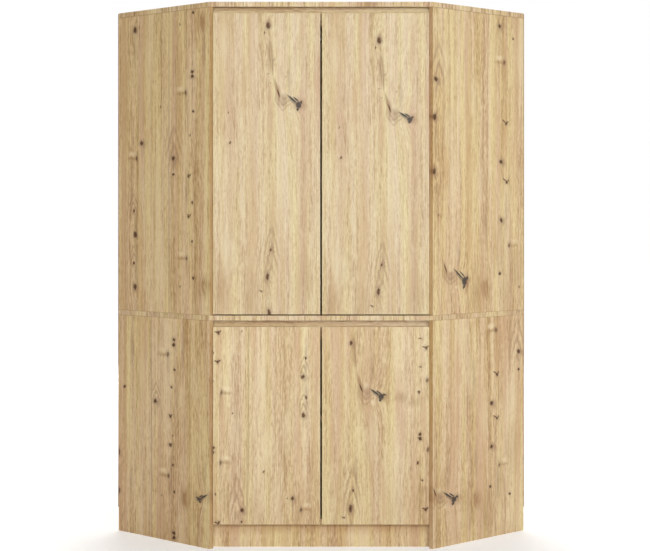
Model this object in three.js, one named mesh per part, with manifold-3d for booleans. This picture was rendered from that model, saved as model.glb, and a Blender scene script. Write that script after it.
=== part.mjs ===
// Corner wardrobe with a diagonal front: two storeys, four doors, one shelf and a hanging rail.
// Millimetres, +Z up. The origin lies on the floor, under the middle of the bounding box.
// The doors face -Y and the corner of the two walls is at +Y.

import * as THREE from "three";
import { mergeVertices } from "three/addons/utils/BufferGeometryUtils.js";
import Module from "manifold-3d";

const wasm = await Module();
wasm.setup();

// Outline in plan
const wallLength = 1000; // along each wall, from the wall corner to the end of the wing
const sideDepth = 480; // how far each side stands out from its wall

// Boards
const boardThickness = 16;
const backThickness = 3;
const fitGap = 0.3; // between pieces that seat on each other

// Heights above the floor
const overallHeight = 1800;
const plinthHeight = 80;
const lowerStoreyHeight = 752; // underside of the middle board
const shelfLevel = 416; // underside of the shelf

// Doors
const doorThickness = 16;
const doorInset = 1; // front face behind the front edges of the carcass
const doorSideGap = 1;
const doorPairGap = 6;
const lowerDoorLift = 1; // above the underside of the bottom board
const upperDoorLift = 4; // above the middle board
const gripGap = 21; // finger gap above each pair of doors
const doorStopGap = 2; // from the back of the lower doors to the bottom board

// Rails behind the finger gaps, and the plinth
const frontRailHeight = 60;
const frontRailSetback = 40;
const plinthSetback = 42;

// Uprights in the wall corner, and the margins of the back sheets
const uprightWidth = 120; // across the rear face
const sheetMargin = 2;
const sheetJointGap = 1;

// Shelf and its pins
const shelfSetback = 45;
const pinRadius = 2.3;
const pinDepth = 8;
const pinCollarRadius = 4;
const pinCollarThickness = 1.2;
const pinNoseRadius = 3;
const pinNoseLength = 8;
const pinFrontDistance = 70;
const pinRearDistance = 60;
const pinUprightSpacing = 80;
const pinHolePitch = 64;
const pinHoleRows = 3;

// Hanging rail and its brackets
const railTubeRadius = 12.5;
const railTubeWall = 1;
const railLength = 800;
const railDrop = 70; // tube axis under the top board
const railDepth = 373; // tube axis behind the front
const bracketPlateLength = 56;
const bracketPlateWidth = 22;
const bracketPlateThickness = 2.5;
const bracketWebThickness = 3;
const bracketCupDepth = 16;
const bracketCupWall = 2;
const bracketScrewSpacing = 36;
const bracketScrewRadius = 4;
const bracketScrewHeight = 1.4;

// Hinge cup, let into the back of the door
const cupBoreRadius = 17.5;
const cupBoreDepth = 12.5;
const cupEdgeDistance = 5; // from the edge of the door to the bore
const cupWall = 1.2;
const cupFloor = 1;
const cupFlangeThickness = 1.2;
const cupFlangeRim = 2.6; // beyond the bore
const cupScrewSpacing = 48;
const cupWingWidth = 14;
const cupScrewRadius = 3.6;
const cupScrewHeight = 0.8;

// Hinge link, an arc about the axis that the door turns on
const linkThickness = 3;
const linkWidth = 10;
const linkHubRadius = 2.4;
const linkPlay = 0.4;
const armFloorClearance = 1.2; // from the tip of the arm to the floor of the cup
const linkPanelClearance = 2;

// Hinge arm and its mounting plate, on the side panel
const armWeb = 2.2;
const armCheek = 2.6;
const armRise = 5; // underside of the arm above the panel
const armTop = 15; // top of the arm above the panel
const armLength = 62; // from the front edge of the panel
const plateDistance = 37; // from the front edge of the panel to the screws
const plateScrewSpacing = 32;
const plateWingWidth = 14;
const plateThickness = 2.8;
const plateRiserStart = 24;
const plateRiserWidth = 14;
const plateScrewRadius = 4;
const plateScrewHeight = 1.6;
const armScrewRadius = 3.4;
const armScrewHeight = 1;
const armScrewFirst = 30;
const armScrewSecond = 50;
const hingeEndDistance = 100; // from the ends of the door to the outer hinges
const lowerHingeCount = 2;
const upperHingeCount = 3;

// Facets and the overrun of every cut
const cutOverrun = 2;
const roundFacets = 20;
const smallFacets = 8;
const arcFacets = 6;
const barEndFacets = 3;
const mergeTolerance = 1e-3;

// Heights that follow
const middleBoardTop = lowerStoreyHeight + boardThickness;
const topBoardBottom = overallHeight - boardThickness;
const bottomBoardTop = plinthHeight + boardThickness;

// Plan points of the left half. The side panel's face looks along `inward`,
// and `alongSide` leads from the front to the wall.
const diagonal = Math.SQRT1_2;
const inward = new THREE.Vector2(diagonal, diagonal);
const alongSide = new THREE.Vector2(-diagonal, diagonal);
const overallDepth = (wallLength + sideDepth) * diagonal;
const frontY = -overallDepth / 2;
const wallCorner = new THREE.Vector2(0, overallDepth / 2);
const wingEnd = wallCorner.clone().addScaledVector(inward, -wallLength);
const frontCorner = wingEnd.clone().addScaledVector(alongSide, -sideDepth);
const faceCorner = frontCorner.clone().addScaledVector(inward, boardThickness);
const backInset = backThickness + fitGap;
const panelLength = sideDepth - backInset;

// The door's outer front corner, on which it turns
const pivot = new THREE.Vector2(faceCorner.x + doorSideGap, frontY + doorInset);
const doorWidth = -pivot.x - doorPairGap / 2;
const doorBackY = pivot.y + doorThickness;

// Rear and front face of the uprights across the wall corner
const uprightRearY = wallCorner.y - backInset / diagonal - uprightWidth / 2;
const uprightFrontY = uprightRearY - boardThickness;

const oak = new THREE.MeshStandardMaterial({ color: 0xd6bc96, roughness: 0.6, metalness: 0 });
const hardboard = new THREE.MeshStandardMaterial({ color: 0xc2a274, roughness: 0.7, metalness: 0 });
const nickel = new THREE.MeshStandardMaterial({ color: 0xc3c5c6, roughness: 0.35, metalness: 0.9 });
const chrome = new THREE.MeshStandardMaterial({ color: 0xdcdee0, roughness: 0.15, metalness: 1 });

// A closed geometry as a solid that can be joined and cut
function solidOf(geometry) {
  const bare = geometry.index ? geometry.toNonIndexed() : geometry.clone();
  bare.deleteAttribute("normal");
  bare.deleteAttribute("uv");
  const merged = mergeVertices(bare, mergeTolerance);
  const triVerts = new Uint32Array(merged.index.array);
  return new wasm.Manifold(
    new wasm.Mesh({ numProp: 3, vertProperties: merged.attributes.position.array, triVerts }),
  );
}

function geometryOf(solid) {
  const mesh = solid.getMesh();
  const geometry = new THREE.BufferGeometry();
  geometry.setAttribute("position", new THREE.BufferAttribute(mesh.vertProperties, 3));
  geometry.setIndex(new THREE.BufferAttribute(mesh.triVerts, 1));
  const faceted = geometry.toNonIndexed();
  faceted.computeVertexNormals();
  return faceted;
}

function joined(...geometries) {
  return geometries.map(solidOf).reduce((whole, next) => whole.add(next));
}

function cutBy(geometry, cutters) {
  return cutters.map(solidOf).reduce((whole, next) => whole.subtract(next), solidOf(geometry));
}

function part(name, geometry, material) {
  const mesh = new THREE.Mesh(geometry, material);
  mesh.name = name;
  return mesh;
}

// An outline drawn in plan, standing from one height to another
function prism(points, bottom, top, curveSegments = arcFacets) {
  const shape = Array.isArray(points) ? new THREE.Shape(points) : points;
  const geometry = new THREE.ExtrudeGeometry(shape, {
    depth: top - bottom,
    bevelEnabled: false,
    curveSegments,
  });
  return geometry.translate(0, 0, bottom);
}

// The left half of a plan outline, from front to back, and its mirror image
function bothHalves(left) {
  const right = left.filter((p) => p.x < 0).map((p) => new THREE.Vector2(-p.x, p.y));
  return [...left, ...right.reverse()];
}

// On a line beside the left side panel's face, at a depth y
function besidePanel(y, gap) {
  return new THREE.Vector2(faceCorner.x + faceCorner.y - y + gap / diagonal, y);
}

// On a line beside the left wall, at a depth y
function besideWall(y, gap) {
  return new THREE.Vector2(y - wallCorner.y + gap / diagonal, y);
}

// Where those two lines meet
function wingCorner(panelGap, wallGap) {
  const y = (besidePanel(0, panelGap).x - besideWall(0, wallGap).x) / 2;
  return besidePanel(y, panelGap);
}

// A point seen from the side panel: its distance behind the front edge and its height over the face
function overPanel(distance, height) {
  return faceCorner.clone().addScaledVector(alongSide, distance).addScaledVector(inward, height);
}

function cylinder(radius, from, to, facets) {
  const geometry = new THREE.CylinderGeometry(radius, radius, to - from, facets);
  return geometry.translate(0, (from + to) / 2, 0);
}

// Boards that run through from side to side
function throughBoard(name, bottom) {
  const outline = bothHalves([
    frontCorner,
    wingEnd.clone().addScaledVector(alongSide, -backInset),
    besideWall(wallCorner.y - backInset / diagonal, backInset),
  ]);
  return part(name, prism(outline, bottom, bottom + boardThickness), oak);
}

// Between the side panels, in front of the upright that stands in the wall corner
function bottomBoard() {
  const outline = bothHalves([
    besidePanel(doorBackY + doorStopGap, fitGap),
    wingCorner(fitGap, backInset),
    besideWall(uprightFrontY - fitGap, backInset),
  ]);
  return part("bottom_board", prism(outline, plinthHeight, bottomBoardTop), oak);
}

// Narrow boards parallel to the front, mitred between the side panels
function crossBoard(name, setback, bottom, top) {
  const front = frontY + setback;
  const outline = bothHalves([
    besidePanel(front, fitGap),
    besidePanel(front + boardThickness, fitGap),
  ]);
  return part(name, prism(outline, bottom, top), oak);
}

function frontRail(name, top) {
  return crossBoard(name, frontRailSetback, top - frontRailHeight, top);
}

// Drilled holes for the shelf pins, in three rows
function pinHole(x, y, z, turn) {
  const hole = cylinder(pinRadius + fitGap, -pinDepth - fitGap, cutOverrun, smallFacets);
  return hole.rotateZ(turn).translate(x, y, z);
}

function pinHeights() {
  const middle = shelfLevel - pinNoseRadius - fitGap;
  const first = middle - (pinHolePitch * (pinHoleRows - 1)) / 2;
  return Array.from({ length: pinHoleRows }, (_, row) => first + row * pinHolePitch);
}

// Uprights across the wall corner, mitred to both back sheets. The lower one stands on the floor.
function rearUpright(name, bottom, top, holes) {
  const outline = bothHalves([
    besideWall(uprightFrontY, backInset),
    besideWall(uprightRearY, backInset),
  ]);
  const board = prism(outline, bottom, top);
  return part(name, holes.length ? geometryOf(cutBy(board, holes)) : board, oak);
}

const sideTurn = -Math.PI / 4; // from +Y to the way the left side panel faces
const sidePinPlaces = [overPanel(pinFrontDistance, 0), overPanel(panelLength - pinRearDistance, 0)];
const uprightPinPlaces = [-1, 1].map(
  (side) => new THREE.Vector2((side * pinUprightSpacing) / 2, uprightFrontY),
);

// Side panels and back sheets of the left half
function sidePanel(name, bottom, top, holes) {
  const outline = [
    frontCorner,
    faceCorner,
    overPanel(panelLength, 0),
    overPanel(panelLength, -boardThickness),
  ];
  const board = prism(outline, bottom, top);
  return part(name, holes.length ? geometryOf(cutBy(board, holes)) : board, oak);
}

function backSheet(name, bottom, top, shortBy) {
  const rearEnd = wallCorner.clone().addScaledVector(inward, -shortBy);
  const outline = [
    wingEnd,
    wingEnd.clone().addScaledVector(alongSide, -backThickness),
    rearEnd.clone().addScaledVector(alongSide, -backThickness),
    rearEnd,
  ];
  return part(name, prism(outline, bottom, top), hardboard);
}

// Shelf, clear of the panels by the thickness of the pin collars
function shelf() {
  const clearance = pinCollarThickness + 2 * fitGap;
  const outline = bothHalves([
    besidePanel(frontY + shelfSetback, clearance),
    wingCorner(clearance, backThickness + clearance),
    besideWall(uprightFrontY - clearance, backThickness + clearance),
  ]);
  return part("shelf", prism(outline, shelfLevel, shelfLevel + boardThickness), oak);
}

const pinProfile = [
  new THREE.Vector2(0, -pinDepth),
  new THREE.Vector2(pinRadius, -pinDepth),
  new THREE.Vector2(pinRadius, fitGap),
  new THREE.Vector2(pinCollarRadius, fitGap),
  new THREE.Vector2(pinCollarRadius, fitGap + pinCollarThickness),
  new THREE.Vector2(pinNoseRadius, fitGap + pinCollarThickness),
  new THREE.Vector2(pinNoseRadius, fitGap + pinCollarThickness + pinNoseLength),
  new THREE.Vector2(0, fitGap + pinCollarThickness + pinNoseLength),
];
const pinGeometry = new THREE.LatheGeometry(pinProfile, smallFacets);

function shelfPin(name, place, turn) {
  const pin = part(name, pinGeometry, nickel);
  pin.position.set(place.x, place.y, shelfLevel - pinNoseRadius - fitGap);
  pin.rotation.z = turn;
  return pin;
}

// Hanging rail: a tube along X, its closed profile turned about its own axis
function hangingRail() {
  const half = railLength / 2;
  const bore = railTubeRadius - railTubeWall;
  const profile = [
    new THREE.Vector2(bore, -half),
    new THREE.Vector2(railTubeRadius, -half),
    new THREE.Vector2(railTubeRadius, half),
    new THREE.Vector2(bore, half),
    new THREE.Vector2(bore, -half),
  ];
  const tube = part("hanging_rail", new THREE.LatheGeometry(profile, roundFacets), chrome);
  tube.rotation.z = -Math.PI / 2;
  tube.position.set(0, frontY + railDepth, topBoardBottom - railDrop);
  return tube;
}

// Bracket of the left rail end: a cup round the tube, a tapered web,
// and a plate screwed under the top board
function railBracket(name) {
  const bore = railTubeRadius + fitGap;
  const outer = bore + bracketCupWall;
  const cup = new THREE.LatheGeometry(
    [
      new THREE.Vector2(0, 0),
      new THREE.Vector2(outer, 0),
      new THREE.Vector2(outer, bracketCupDepth),
      new THREE.Vector2(bore, bracketCupDepth),
      new THREE.Vector2(bore, bracketWebThickness),
      new THREE.Vector2(0, bracketWebThickness),
    ],
    roundFacets,
  ).rotateZ(-Math.PI / 2);

  const plateTop = railDrop - fitGap;
  const taper = new THREE.Shape([
    new THREE.Vector2(-outer, 0),
    new THREE.Vector2(outer, 0),
    new THREE.Vector2(bracketPlateLength / 2, plateTop),
    new THREE.Vector2(-bracketPlateLength / 2, plateTop),
  ]);
  const upright = new THREE.Matrix4().makeBasis(
    new THREE.Vector3(0, 1, 0),
    new THREE.Vector3(0, 0, 1),
    new THREE.Vector3(1, 0, 0),
  );
  const web = prism(taper, 0, bracketWebThickness).applyMatrix4(upright);

  const plate = new THREE.BoxGeometry(bracketPlateWidth, bracketPlateLength, bracketPlateThickness);
  plate.translate(bracketPlateWidth / 2, 0, plateTop - bracketPlateThickness / 2);
  const screws = [-1, 1].map((side) => {
    const height = bracketPlateThickness / 2 + bracketScrewHeight;
    const head = cylinder(bracketScrewRadius, -height, 0, smallFacets).rotateX(Math.PI / 2);
    const top = plateTop - bracketPlateThickness / 2;
    return head.translate(bracketPlateWidth / 2, (side * bracketScrewSpacing) / 2, top);
  });

  const bracket = part(name, geometryOf(joined(cup, web, plate, ...screws)), nickel);
  const endX = -railLength / 2 - fitGap - bracketWebThickness;
  bracket.position.set(endX, frontY + railDepth, topBoardBottom - railDrop);
  return bracket;
}

// Hinge sizes that follow, measured from the door's pivot: x along the door, y into the cabinet
const cupCentre = cupEdgeDistance + cupBoreRadius;
const cupRadius = cupBoreRadius - fitGap;
const cupMouthRadius = cupRadius - cupWall;
const cupBottomY = doorThickness - cupBoreDepth + fitGap;
const cupFloorY = cupBottomY + cupFloor;
const flangeY = doorThickness + fitGap;
const flangeTopY = flangeY + cupFlangeThickness;
const slotHalfWidth = linkWidth / 2 + linkPlay;
const armHalfWidth = slotHalfWidth + armCheek;
const mouthEdge = cupCentre - Math.sqrt(cupMouthRadius ** 2 - armHalfWidth ** 2);
const armInnerRadius = Math.hypot(mouthEdge, flangeTopY) + linkPlay;
const slotInnerRadius = armInnerRadius + armWeb;
const linkRadius = slotInnerRadius + linkPlay + linkHubRadius;
const slotOuterRadius = linkRadius + linkHubRadius + linkPlay;
const armOuterRadius = slotOuterRadius + armWeb;

// The link starts over the cup's floor and ends short of the side panel
const pivotBeyondPanel = faceCorner.clone().sub(pivot).dot(inward);
const hubAngle = Math.asin((cupFloorY + linkPlay + linkHubRadius) / linkRadius);
const panelAngle = Math.asin((pivotBeyondPanel + linkPanelClearance + linkHubRadius) / linkRadius);
const tailAngle = -sideTurn + Math.PI / 2 - panelAngle;
const armStartAngle = Math.asin((cupFloorY + armFloorClearance) / armInnerRadius);
const armEndAngle = -sideTurn + Math.PI / 2 - Math.asin((pivotBeyondPanel + armTop) / armOuterRadius);

function ringSector(inner, outer, from, to) {
  const shape = new THREE.Shape();
  shape.absarc(0, 0, outer, from, to, false);
  shape.absarc(0, 0, inner, to, from, true);
  return shape;
}

function arcPoint(radius, angle) {
  return new THREE.Vector2(radius * Math.cos(angle), radius * Math.sin(angle));
}

// A standing cylinder, used for hubs
function hub(radius, centre, halfHeight) {
  const geometry = cylinder(radius, -halfHeight, halfHeight, smallFacets);
  return geometry.rotateX(Math.PI / 2).translate(centre.x, centre.y, 0);
}

function roundedBar(length, width) {
  const shape = new THREE.Shape();
  const straight = (length - width) / 2;
  shape.absarc(straight, 0, width / 2, -Math.PI / 2, Math.PI / 2, false);
  shape.absarc(-straight, 0, width / 2, Math.PI / 2, -Math.PI / 2, false);
  return shape;
}

// Cup with its flange ring, the two wings along the door's height and their screws
function hingeCup() {
  const shell = new THREE.LatheGeometry(
    [
      new THREE.Vector2(0, cupBottomY),
      new THREE.Vector2(cupRadius, cupBottomY),
      new THREE.Vector2(cupRadius, flangeY),
      new THREE.Vector2(cupBoreRadius + cupFlangeRim, flangeY),
      new THREE.Vector2(cupBoreRadius + cupFlangeRim, flangeTopY),
      new THREE.Vector2(cupMouthRadius, flangeTopY),
      new THREE.Vector2(cupMouthRadius, cupFloorY),
      new THREE.Vector2(0, cupFloorY),
    ],
    roundFacets,
  );
  const outline = roundedBar(cupScrewSpacing + cupWingWidth, cupWingWidth);
  const bar = prism(outline, flangeY, flangeTopY, barEndFacets);
  bar.rotateZ(Math.PI / 2).rotateX(-Math.PI / 2);
  const mouth = cylinder(cupMouthRadius, flangeY - cutOverrun, flangeTopY + cutOverrun, roundFacets);
  const wings = cutBy(bar, [mouth]);
  const screws = [-1, 1].map((side) => {
    const head = cylinder(cupScrewRadius, flangeY, flangeTopY + cupScrewHeight, smallFacets);
    return head.translate(0, 0, (side * cupScrewSpacing) / 2);
  });
  const whole = screws.map(solidOf).reduce((sum, next) => sum.add(next), solidOf(shell).add(wings));
  return geometryOf(whole.translate([cupCentre, 0, 0]));
}

// Link: an arc with a round hub at each end
function hingeLink() {
  const inner = linkRadius - linkThickness / 2;
  const outer = linkRadius + linkThickness / 2;
  const half = linkWidth / 2;
  return geometryOf(
    joined(
      prism(ringSector(inner, outer, hubAngle, tailAngle), -half, half),
      hub(linkHubRadius, arcPoint(linkRadius, hubAngle), half),
      hub(linkHubRadius, arcPoint(linkRadius, tailAngle), half),
    ),
  );
}

// Arm: a nose that curves into the cup, a straight body, and the plate with its wings on the panel
function hingeArm() {
  const noseEnd = arcPoint(armInnerRadius, armEndAngle).add(pivot).sub(faceCorner);
  const bodyStart = noseEnd.dot(alongSide);
  const corners = [
    overPanel(bodyStart, armRise),
    overPanel(bodyStart, armTop),
    overPanel(armLength, armTop),
    overPanel(armLength, armRise),
  ].map((corner) => corner.sub(pivot));
  const body = prism(corners, -armHalfWidth, armHalfWidth);
  const nose = prism(
    ringSector(armInnerRadius, armOuterRadius, armStartAngle, armEndAngle),
    -armHalfWidth,
    armHalfWidth,
  );
  const slotSpan = Math.asin((linkHubRadius + 2 * linkPlay) / linkRadius);
  const slot = prism(
    ringSector(slotInnerRadius, slotOuterRadius, armStartAngle - slotSpan, tailAngle + slotSpan),
    -slotHalfWidth,
    slotHalfWidth,
  );

  // The plate is drawn flat: x behind the front edge, y along the height, z over the face
  const onPanel = new THREE.Matrix4().makeBasis(
    new THREE.Vector3(alongSide.x, alongSide.y, 0),
    new THREE.Vector3(0, 0, 1),
    new THREE.Vector3(inward.x, inward.y, 0),
  );
  onPanel.setPosition(faceCorner.x - pivot.x, faceCorner.y - pivot.y, 0);
  const lie = (geometry, distance, height) =>
    geometry.translate(distance, height, 0).applyMatrix4(onPanel);
  const outline = roundedBar(plateScrewSpacing + plateWingWidth, plateWingWidth);
  const wings = prism(outline, fitGap, plateThickness, barEndFacets);
  const riserLength = armLength - plateRiserStart;
  const riser = new THREE.BoxGeometry(riserLength, plateRiserWidth, armRise);
  riser.translate(0, 0, armRise / 2 + fitGap);
  const plateScrews = [-1, 1].map((side) => {
    const head = cylinder(plateScrewRadius, fitGap, plateThickness + plateScrewHeight, smallFacets);
    return lie(head.rotateX(Math.PI / 2), plateDistance, (side * plateScrewSpacing) / 2);
  });
  const armScrews = [armScrewFirst, armScrewSecond].map((distance) => {
    const head = cylinder(armScrewRadius, armRise, armTop + armScrewHeight, smallFacets);
    return lie(head.rotateX(Math.PI / 2), distance, 0);
  });
  const arm = joined(body, nose).subtract(solidOf(slot));
  const plate = joined(
    lie(wings.rotateZ(Math.PI / 2), plateDistance, 0),
    lie(riser, plateRiserStart + riserLength / 2, 0),
    ...plateScrews,
    ...armScrews,
  );
  return geometryOf(arm.add(plate));
}

const cupGeometry = hingeCup();
const linkGeometry = hingeLink();
const armGeometry = hingeArm();

// A door with the bores for its hinge cups, drawn from its pivot
function door(name, bottom, top, hingeHeights) {
  const outline = [
    new THREE.Vector2(0, 0),
    new THREE.Vector2(doorWidth, 0),
    new THREE.Vector2(doorWidth, doorThickness),
    new THREE.Vector2(0, doorThickness),
  ];
  const bores = hingeHeights.map((height) => {
    const end = doorThickness + cutOverrun;
    const bore = cylinder(cupBoreRadius, doorThickness - cupBoreDepth, end, roundFacets);
    return bore.translate(cupCentre, 0, height);
  });
  return part(name, geometryOf(cutBy(prism(outline, bottom, top), bores)), oak);
}

// A door and its hinges. The cups turn with the door, the links follow it and the arms stay.
function doorWithHinges(storey, side, bottom, top, hingeCount) {
  const group = new THREE.Group();
  const span = top - bottom - 2 * hingeEndDistance;
  const heights = Array.from(
    { length: hingeCount },
    (_, index) => bottom + hingeEndDistance + (span * index) / (hingeCount - 1),
  );
  group.add(door(`door_${storey}_${side}`, bottom, top, heights));
  heights.forEach((height, index) => {
    const label = `${storey}_${side}_${index + 1}`;
    const pieces = [
      part(`hinge_cup_${label}`, cupGeometry, nickel),
      part(`hinge_link_${label}`, linkGeometry, nickel),
      part(`hinge_arm_${label}`, armGeometry, nickel),
    ];
    pieces.forEach((piece) => {
      piece.position.z = height;
    });
    group.add(...pieces);
  });
  group.position.set(pivot.x, pivot.y, 0);
  return group;
}

// Everything on one side. The right half is the mirror image of the left,
// apart from the lap of the back sheets.
function halfOf(side, sheetShortBy) {
  const half = new THREE.Group();
  const holes = pinHeights().flatMap((height) =>
    sidePinPlaces.map((place) => pinHole(place.x, place.y, height, sideTurn)),
  );
  const sheetJoint = lowerStoreyHeight + boardThickness / 2;
  const lowerDoorBottom = plinthHeight + lowerDoorLift;
  const lowerDoorTop = lowerStoreyHeight - gripGap;
  const upperDoorBottom = middleBoardTop + upperDoorLift;
  const upperDoorTop = topBoardBottom - gripGap;
  half.add(
    sidePanel(`side_panel_lower_${side}`, 0, lowerStoreyHeight, holes),
    sidePanel(`side_panel_upper_${side}`, middleBoardTop, topBoardBottom, []),
    backSheet(
      `back_sheet_lower_${side}`,
      plinthHeight + sheetMargin,
      sheetJoint - sheetJointGap / 2,
      sheetShortBy,
    ),
    backSheet(
      `back_sheet_upper_${side}`,
      sheetJoint + sheetJointGap / 2,
      overallHeight - sheetMargin,
      sheetShortBy,
    ),
    shelfPin(`shelf_pin_${side}_front`, sidePinPlaces[0], sideTurn),
    shelfPin(`shelf_pin_${side}_rear`, sidePinPlaces[1], sideTurn),
    shelfPin(`shelf_pin_${side}_corner`, uprightPinPlaces[0], Math.PI),
    railBracket(`rail_bracket_${side}`),
    doorWithHinges("lower", side, lowerDoorBottom, lowerDoorTop, lowerHingeCount),
    doorWithHinges("upper", side, upperDoorBottom, upperDoorTop, upperHingeCount),
  );
  return half;
}

const wardrobe = new THREE.Group();
const leftHalf = halfOf("left", 0);
const rightHalf = halfOf("right", backInset);
rightHalf.scale.x = -1;

const uprightHoles = pinHeights().flatMap((height) =>
  uprightPinPlaces.map((place) => pinHole(place.x, place.y, height, Math.PI)),
);
wardrobe.add(
  leftHalf,
  rightHalf,
  bottomBoard(),
  throughBoard("middle_board", lowerStoreyHeight),
  throughBoard("top_board", topBoardBottom),
  crossBoard("plinth_board", plinthSetback, 0, plinthHeight),
  frontRail("front_rail_lower", lowerStoreyHeight),
  frontRail("front_rail_upper", topBoardBottom),
  rearUpright("rear_upright_lower", 0, lowerStoreyHeight, uprightHoles),
  rearUpright("rear_upright_upper", middleBoardTop, topBoardBottom, []),
  shelf(),
  hangingRail(),
);

export default wardrobe;
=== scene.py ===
"""Corner wardrobe in knotty light oak, dressed for rendering. Metres, in the shared frame."""

import math

import bmesh
import bpy
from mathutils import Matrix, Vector


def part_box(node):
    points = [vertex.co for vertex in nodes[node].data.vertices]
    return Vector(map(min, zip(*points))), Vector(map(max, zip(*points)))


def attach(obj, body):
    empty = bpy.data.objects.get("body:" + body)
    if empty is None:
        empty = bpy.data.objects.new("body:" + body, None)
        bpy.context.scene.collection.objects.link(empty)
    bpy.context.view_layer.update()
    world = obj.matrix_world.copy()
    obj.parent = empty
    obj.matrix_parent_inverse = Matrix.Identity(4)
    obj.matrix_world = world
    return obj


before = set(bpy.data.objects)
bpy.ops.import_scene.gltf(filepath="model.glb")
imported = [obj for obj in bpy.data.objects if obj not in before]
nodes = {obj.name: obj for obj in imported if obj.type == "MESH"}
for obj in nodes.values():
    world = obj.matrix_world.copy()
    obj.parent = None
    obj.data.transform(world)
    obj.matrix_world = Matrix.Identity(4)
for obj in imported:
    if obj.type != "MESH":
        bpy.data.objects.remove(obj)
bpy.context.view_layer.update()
scene = bpy.context.scene

# Camera, worked out from the outline in the photograph
PHOTO_WIDTH, PHOTO_HEIGHT = 650, 551
HORIZON_PX = 211.0
CENTRE_PX = 321.12
FOCAL_PX = 1726.0
SENSOR_WIDTH = 36.0
CAMERA_HEIGHT = 1.112
FRONT_DISTANCE = 5.675

FRONT_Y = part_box("middle_board")[0].y
FRONT_CORNER_X = 0.36775
DOOR_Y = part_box("door_upper_left")[0].y
CAMERA = Vector((0.0, FRONT_Y - FRONT_DISTANCE, CAMERA_HEIGHT))

# Directions in which the seen surfaces run from left to right, and a point on each of their planes
DIAGONAL = math.sqrt(0.5)
FRONT_ACROSS = Vector((1, 0, 0))
LEFT_ACROSS = Vector((DIAGONAL, -DIAGONAL, 0))
RIGHT_ACROSS = Vector((DIAGONAL, DIAGONAL, 0))
FRONT_POINT = Vector((0, DOOR_Y, 0))
LEFT_POINT = Vector((-FRONT_CORNER_X, FRONT_Y, 0))
RIGHT_POINT = Vector((FRONT_CORNER_X, FRONT_Y, 0))


def add_camera():
    data = bpy.data.cameras.new("camera")
    data.sensor_width = SENSOR_WIDTH
    data.lens = FOCAL_PX / PHOTO_WIDTH * SENSOR_WIDTH
    data.shift_x = (PHOTO_WIDTH / 2 - CENTRE_PX) / PHOTO_WIDTH
    data.shift_y = (HORIZON_PX - PHOTO_HEIGHT / 2) / PHOTO_WIDTH
    camera = bpy.data.objects.new("camera", data)
    camera.location = CAMERA
    camera.rotation_euler = (math.radians(90), 0, 0)
    scene.collection.objects.link(camera)
    scene.camera = camera


def on_surface(place_px, across, point):
    """Where the photograph's pixel lies on an upright surface, in metres across it and up."""
    ray = Vector(((place_px[0] - CENTRE_PX) / FOCAL_PX, 1, (HORIZON_PX - place_px[1]) / FOCAL_PX))
    normal = across.cross(Vector((0, 0, 1)))
    hit = CAMERA + ray * ((point - CAMERA).dot(normal) / ray.dot(normal))
    return hit.dot(across), hit.z


def srgb(red, green, blue):
    """A colour given as 0 to 255 in sRGB, as linear values."""
    def linear(value):
        value /= 255
        return value / 12.92 if value <= 0.04045 else ((value + 0.055) / 1.055) ** 2.4
    return (linear(red), linear(green), linear(blue), 1.0)


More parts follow.
